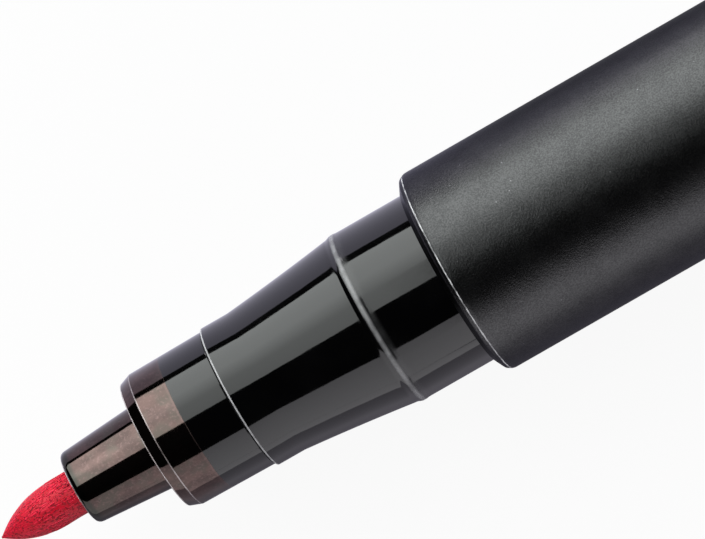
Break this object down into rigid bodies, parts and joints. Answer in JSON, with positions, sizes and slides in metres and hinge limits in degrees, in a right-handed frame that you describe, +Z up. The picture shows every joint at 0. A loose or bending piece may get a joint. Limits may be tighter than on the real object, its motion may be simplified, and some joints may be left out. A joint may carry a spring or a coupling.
{
  "type": "calligraphy marker",
  "caption": "Brush-tipped calligraphy marker with a red fibre nib, glossy black grip, matte black barrel and a clip cap posted on its tail.",
  "frame": {"origin": "centre of the flat end face of the posted cap's crown", "axes": "+X along the marker's axis, out of the cap's end and away from the nib; +Z up, the marker lying on its side"},
  "size_m": [0.1572, 0.0126, 0.011],
  "materials": {
    "nib_fibre": "bonded fibre soaked with red ink",
    "gloss_black": "polished",
    "matte_black": "fine spark-eroded texture",
    "satin_black": "satin",
    "reservoir_fibre": "ink-soaked fibre",
    "clear_film": "thin film",
    "ink_red": "moulded, lightly glossy",
    "natural_plastic": "natural moulding"
  },
  "bodies": {
    "pen": {"brush_nib": "nib_fibre", "nib_holder": "gloss_black", "grip_section": "gloss_black", "barrel": "matte_black", "ink_reservoir": "reservoir_fibre", "reservoir_film": "clear_film", "tail_plug": "ink_red"},
    "cap": {"cap_shell": "matte_black", "cap_liner": "natural_plastic", "cap_crown": "ink_red"},
    "cap_clip": {"clip": "satin_black"}
  },
  "joints": [
    {"name": "cap_slide", "type": "slide", "parent": "pen", "child": "cap", "axis": [1, 0, 0], "range_m": [0, 0.02]},
    {"name": "clip_flex", "type": "hinge", "parent": "cap", "child": "cap_clip", "pos_m": [-0.00565, -0.0046, -0.00301], "axis": [0, -0.5479, 0.8365], "range_deg": [0, 4], "stiffness_Nm_per_rad": 0.05}
  ]
}
